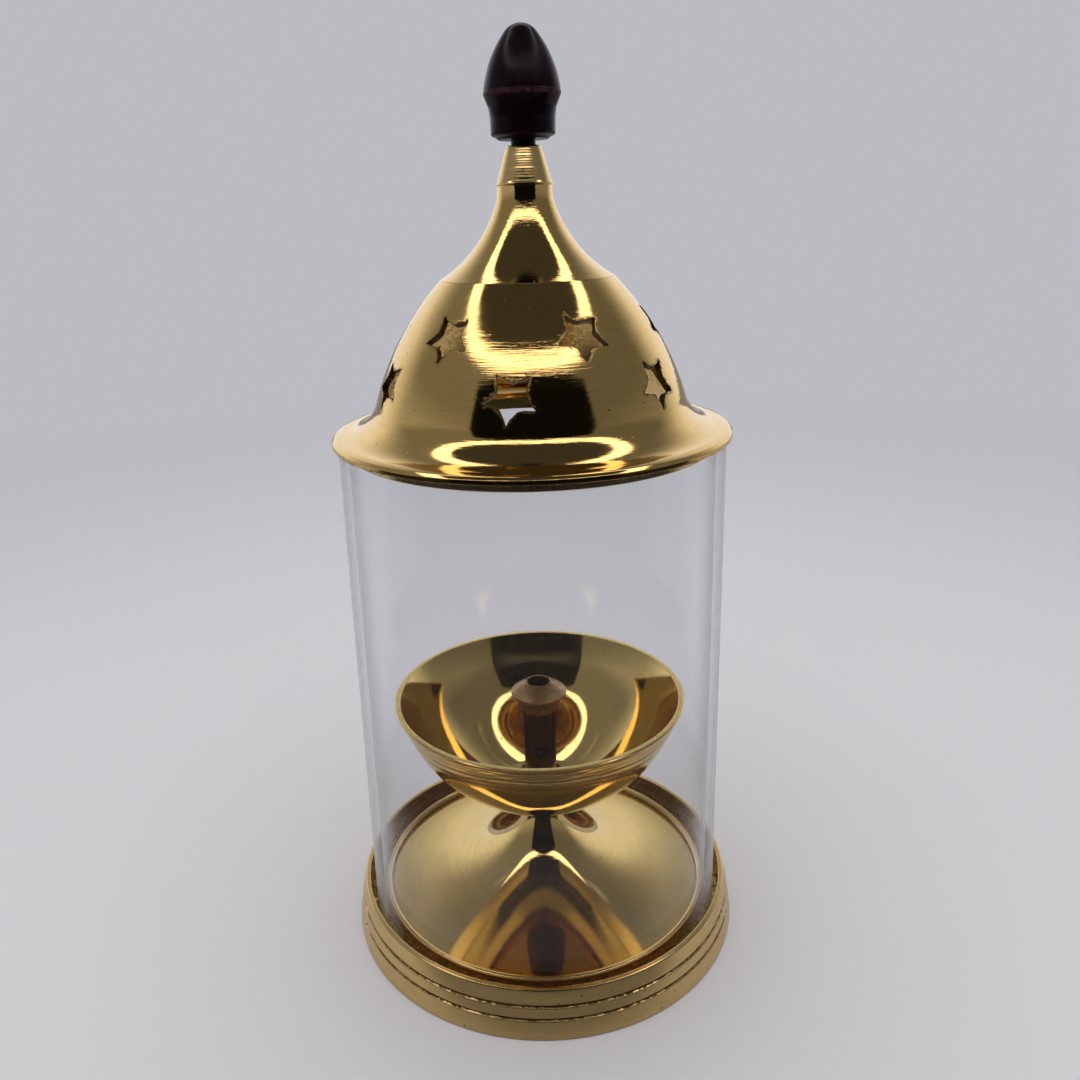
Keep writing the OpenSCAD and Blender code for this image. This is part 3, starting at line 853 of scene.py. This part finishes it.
def knob_grime(r, z):
    """Wear on the ring, and a little on the cup's lower edge."""
    cup_z = low("lid_knob") + KNOB_NECK_H
    return max(0.8 * band(z, cup_z + KNOB_EDGE_H - 0.4, 0.8), 0.2 * band(z, cup_z + 0.9, 0.5))


def refinish(node, material):
    """Gives a CAD node that stays in view its procedural finish."""
    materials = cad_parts[node].data.materials
    materials.clear()
    materials.append(material)


lathe("spire", "lid", polished, spire_points(), ["dome_spire"])
lathe("collar", "lid", turned, collar_points(), ["neck_collar"])
lathe("knob", "lid", knob_finish, knob_points(), ["lid_knob"],
      closed=False, grime_and_shade=knob_grime)

for steel_node in STEEL_NODES:
    refinish(steel_node, steel)
refinish("knob_insert", insert)
refinish("wick_tube", sooty)
refinish("bowl_seal_washer", fibre_material())


# ---------------------------------------------------------------- studio

# In metres. What the camera sees is a plain pale floor and backdrop. What the brass reflects is
# a studio with a ring-shaped lamp overhead and some of the room left unlit.
BACKDROP = (0.50, 0.50, 0.54)
RING_IN, RING_OUT, RING_Z, RING_BACK = 0.420, 0.560, 0.75, -0.059
RING_COLOUR, RING_STRENGTH = (1.0, 0.93, 0.91), 2.6
CEILING_GLOW, FRONT_GLOW, FLOOR_CARD_AND_SHADE = 0.05, 0.004, (0.02, 0.02, 0.02)
FRONT_HALF_WIDTH, FRONT_Y, FRONT_TOP = 0.30, -0.31, 0.435
FLOOR_REACH, FLOOR_FADE = 20.0, (0.22, 0.8)
OVERHEAD_Z, OVERHEAD_SIZE, OVERHEAD_ENERGY = 1.1, 1.4, 6.5
WALL_DIM = (0.1, 0.42)  # how far up the walls darken, as the direction's Z
LEFT_WALL = ((0.42, 0.42, 0.43, 1), (0.22, 0.22, 0.225, 1))
RIGHT_WALL = ((0.26, 0.26, 0.265, 1), (0.15, 0.15, 0.155, 1))
BACK_WALL = (0.98, 0.98, 1.02, 1)
CAMERA_AT, CAMERA_DOWN, CAMERA_ROLL = (-0.003845, -0.21855, 0.17841), 16.802, -1.906
CAMERA_LENS, CAMERA_SHIFT = 31.60, (0.0209, -0.0371)


def seen_directly(g):
    """1 for a ray from the camera, straight or through glass, and 0 for any other."""
    path = g.tree.nodes.new("ShaderNodeLightPath")
    depth = g.math("ADD", path.outputs["Glossy Depth"], path.outputs["Diffuse Depth"])
    unturned = g.math("LESS_THAN", depth, 0.5)
    through_glass = g.math("MULTIPLY", path.outputs["Is Transmission Ray"], unturned)
    return g.math("MAXIMUM", path.outputs["Is Camera Ray"], through_glass)


def reflected(g):
    """1 for a ray that left a mirror-like surface, and 0 for any other."""
    path = g.tree.nodes.new("ShaderNodeLightPath")
    seen = g.math("GREATER_THAN", path.outputs["Glossy Depth"], 0.5)
    return g.math("MULTIPLY", seen, g.math("SUBTRACT", 1.0, path.outputs["Is Shadow Ray"]))


def stage_object(name, verts, faces, material):
    """A part of the studio, which isn't part of the lamp."""
    data = bpy.data.meshes.new(name)
    data.from_pydata(verts, [], faces)
    data.materials.append(material)
    made = bpy.data.objects.new(name, data)
    bpy.context.scene.collection.objects.link(made)


def floor_material():
    """A pale table fading into the backdrop; reflections see part of it as a dark card, and as
    painted shade in front of the tray.
    """
    material, g = new_material("pale_floor")
    place = g.place()
    tone = g.mix(g.noise(place, 9.0, 3.0), (0.74, 0.74, 0.77, 1), (0.76, 0.76, 0.79, 1))
    near = g.add("ShaderNodeBsdfPrincipled", 0, {
        "Base Color": tone, "Roughness": 0.7, "Specular IOR Level": 0.2})
    distance = g.add("ShaderNodeVectorMath", 1, {0: place}, operation="LENGTH")
    fade = g.math("MULTIPLY", g.ramp(distance, *FLOOR_FADE), seen_directly(g))
    table = g.blend(fade, near, g.emission(BACKDROP))
    y = g.part(place, 1)
    # Painted shade, seen only in reflections: the floor just in front of the tray goes darker.
    shade_before_tray = g.ramp(y, -0.038, -0.06, 0.0, 0.6)
    further_off = g.math("MULTIPLY", g.ramp(y, 0.06, -0.03), g.ramp(distance, 0.08, 0.11))
    card_and_shade = g.math("MULTIPLY", g.math("MAXIMUM", shade_before_tray, further_off), reflected(g))
    g.end(g.blend(card_and_shade, table, g.emission(FLOOR_CARD_AND_SHADE)))
    return material


def lamp_material(name, colour, strength):
    """A lamp that lights and is reflected, but isn't seen itself."""
    material, g = new_material(name)
    light, unseen = g.emission(colour, strength), g.add("ShaderNodeBsdfTransparent")
    g.end(g.blend(seen_directly(g), light, unseen))
    return material


def flag_material(name, glow):
    """A dark card that only reflections see, as where part of a studio is left unlit."""
    material, g = new_material(name)
    dark, unseen = g.emission((glow, glow, glow)), g.add("ShaderNodeBsdfTransparent")
    g.end(g.blend(reflected(g), unseen, dark))
    return material


def ring_mesh(inner, outer, count=120):
    """A flat ring over the lamp, wider towards the front."""
    verts, faces = [], []
    for i in range(count):
        a = 2 * math.pi * i / count
        x, y = math.cos(a), math.sin(a)
        x *= 0.95 - 0.32 * y
        verts += [(r * x, RING_BACK + r * y, RING_Z) for r in (inner, outer)]
        k = (i + 1) % count
        faces.append((2 * i, 2 * k, 2 * k + 1, 2 * i + 1))
    return verts, faces


def make_stage():
    far = FLOOR_REACH
    stage_object("floor", [(-far, -far, 0), (far, -far, 0), (far, far, 0), (-far, far, 0)],
                 [(0, 1, 2, 3)], floor_material())
    stage_object("ring_lamp", *ring_mesh(RING_IN, RING_OUT),
                 lamp_material("ring_lamp", RING_COLOUR, RING_STRENGTH))
    stage_object("ceiling_flag", *ring_mesh(0.001, RING_IN - 0.002),
                 flag_material("ceiling_flag", CEILING_GLOW))
    x, y, z = FRONT_HALF_WIDTH, FRONT_Y, FRONT_TOP
    stage_object("front_flag", [(-x, y, 0.001), (x, y, 0.001), (x, y, z), (-x, y, z)],
                 [(0, 1, 2, 3)], flag_material("front_flag", FRONT_GLOW))


def make_light():
    """A soft light from above that the brass doesn't show."""
    soft = bpy.data.lights.new("overhead", "AREA")
    soft.shape, soft.size, soft.energy = "DISK", OVERHEAD_SIZE, OVERHEAD_ENERGY
    overhead = bpy.data.objects.new("overhead", soft)
    bpy.context.scene.collection.objects.link(overhead)
    overhead.location = (0, 0, OVERHEAD_Z)
    overhead.visible_glossy = overhead.visible_camera = overhead.visible_transmission = False


def make_world():
    """Walls that darken upwards and a lit one behind, all seen in reflections only."""
    world = bpy.data.worlds.new("studio")
    bpy.context.scene.world = world
    g = Graph(world)
    direction = g.add("ShaderNodeTexCoord", "Generated")
    right, back, up = (g.part(direction, axis) for axis in (0, 1, 2))
    dimmed = g.ramp(up, *WALL_DIM)
    left_wall, right_wall = (g.mix(dimmed, *wall) for wall in (LEFT_WALL, RIGHT_WALL))
    sides = g.mix(g.ramp(right, -0.6, 0.6), left_wall, right_wall)
    lit_back = g.math("MULTIPLY", g.ramp(back, 0.2, 0.8), g.ramp(up, 0.3, 0.75, 1.0, 0.0))
    walls = g.mix(lit_back, sides, BACK_WALL)
    colour = g.mix(seen_directly(g), walls, (*BACKDROP, 1))
    sky = g.add("ShaderNodeBackground", 0, {"Color": colour, "Strength": 1.0})
    g.end(sky, "ShaderNodeOutputWorld")


def make_camera():
    data = bpy.data.cameras.new("camera")
    data.sensor_width, data.lens, data.clip_start = 36, CAMERA_LENS, 0.01
    data.shift_x, data.shift_y = CAMERA_SHIFT
    camera = bpy.data.objects.new("camera", data)
    bpy.context.scene.collection.objects.link(camera)
    camera.matrix_world = (
        Matrix.Translation(CAMERA_AT)
        @ Matrix.Rotation(math.radians(90 - CAMERA_DOWN), 4, "X")
        @ Matrix.Rotation(math.radians(CAMERA_ROLL), 4, "Z")
    )
    bpy.context.scene.camera = camera


make_stage()
make_light()
make_world()
make_camera()
scene = bpy.context.scene
scene.view_settings.view_transform = "Standard"
# Enough for light to cross the glass and go round between the brass pieces
scene.cycles.max_bounces = 16
scene.cycles.glossy_bounces = 12
scene.cycles.transparent_max_bounces = 24
